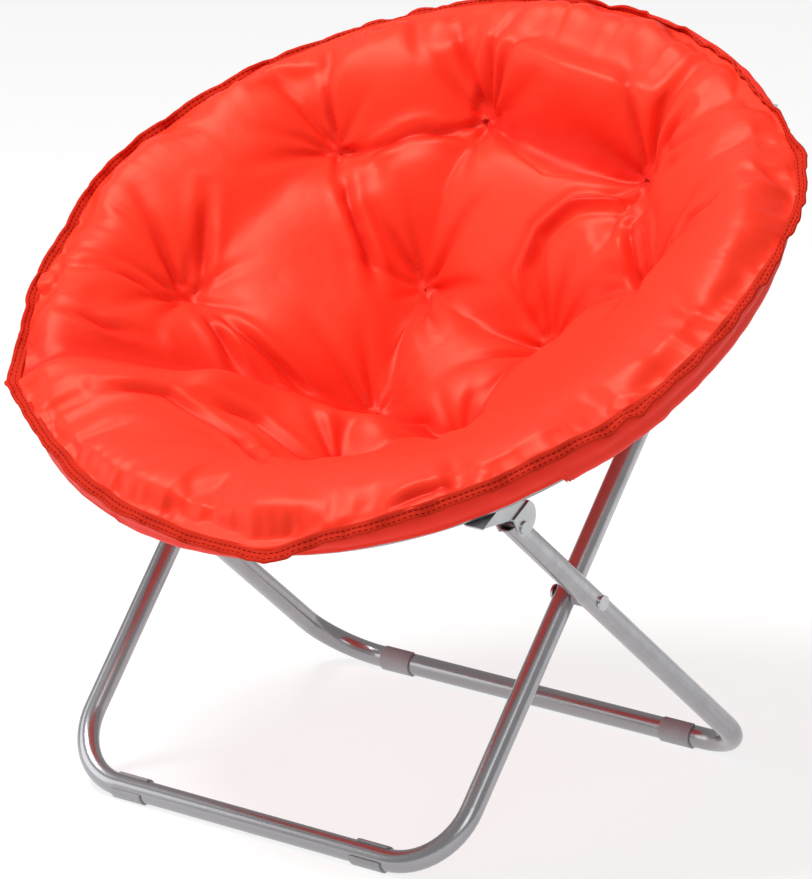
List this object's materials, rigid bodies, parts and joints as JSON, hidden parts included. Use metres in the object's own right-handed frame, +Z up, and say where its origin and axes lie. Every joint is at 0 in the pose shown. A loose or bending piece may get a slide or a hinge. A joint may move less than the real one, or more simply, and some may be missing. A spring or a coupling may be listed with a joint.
{
  "type": "folding saucer chair",
  "caption": "Folding round padded lounge chair: tufted fabric bowl seat on a two-piece steel hoop, carried by crossed tubular steel legs with plastic foot clips.",
  "frame": {"origin": "on the floor under the middle of the whole chair's box", "axes": "+X across the chair, to the right as seen from the front; +Y towards the raised back edge of the seat; +Z up"},
  "size_m": [0.7718, 0.6834, 0.7303],
  "materials": {
    "frame": "glossy silver-grey powder coat",
    "zinc": "bright zinc plate",
    "plastic": "light grey, matte",
    "cover": "smooth satin woven polyester, padded and tufted",
    "backing": "plain woven polyester"
  },
  "bodies": {
    "front_legs": {"front_leg_frame": "frame", "scissor_rivet_left": "zinc", "scissor_rivet_right": "zinc", "scissor_bush_left": "plastic", "scissor_bush_right": "plastic", "front_clip_left": "plastic", "front_clip_right": "plastic"},
    "hoop_rear": {"hoop_rear_tube": "frame", "rim_sleeve_rear": "cover", "seat_pad_rear": "cover", "back_panel_rear": "backing", "rear_bracket_bolts": "zinc", "hinge_clevis_left": "zinc", "hinge_clevis_right": "zinc", "hinge_pin_left": "zinc", "hinge_pin_right": "zinc", "rear_bracket_left": "zinc", "rear_bracket_right": "zinc", "rear_pivot_pin_left": "zinc", "rear_pivot_pin_right": "zinc"},
    "hoop_front": {"hoop_front_tube": "frame", "rim_sleeve_front": "cover", "seat_pad_front": "cover", "back_panel_front": "backing", "front_bracket_bolts": "zinc", "hinge_tongue_left": "zinc", "hinge_tongue_right": "zinc", "front_bracket_left": "zinc", "front_bracket_right": "zinc", "front_pivot_pin_left": "zinc", "front_pivot_pin_right": "zinc"},
    "rear_legs": {"rear_leg_frame": "frame", "scissor_head_left": "zinc", "scissor_head_right": "zinc", "rear_clip_left": "plastic", "rear_clip_right": "plastic"}
  },
  "joints": [
    {"name": "hoop_fold", "type": "hinge", "parent": "hoop_rear", "child": "hoop_front", "pos_m": [0, -0.11718, 0.45902], "axis": [-1, 0, 0], "range_deg": [0, 170], "deforming": ["seat_pad_front", "seat_pad_rear", "back_panel_front", "back_panel_rear"]},
    {"name": "rear_pivot", "type": "hinge", "parent": "front_legs", "child": "hoop_rear", "pos_m": [0, 0.26984, 0.61796], "axis": [1, 0, 0], "range_deg": [0, 31.25]},
    {"name": "front_pivot", "type": "hinge", "parent": "hoop_front", "child": "rear_legs", "pos_m": [0, -0.17126, 0.34638], "axis": [1, 0, 0], "range_deg": [0, 77.38]}
  ],
  "couplings": [
    {"joint": "rear_pivot", "follows": "hoop_fold", "ratio": 0.1838},
    {"joint": "front_pivot", "follows": "hoop_fold", "ratio": 0.4552}
  ]
}
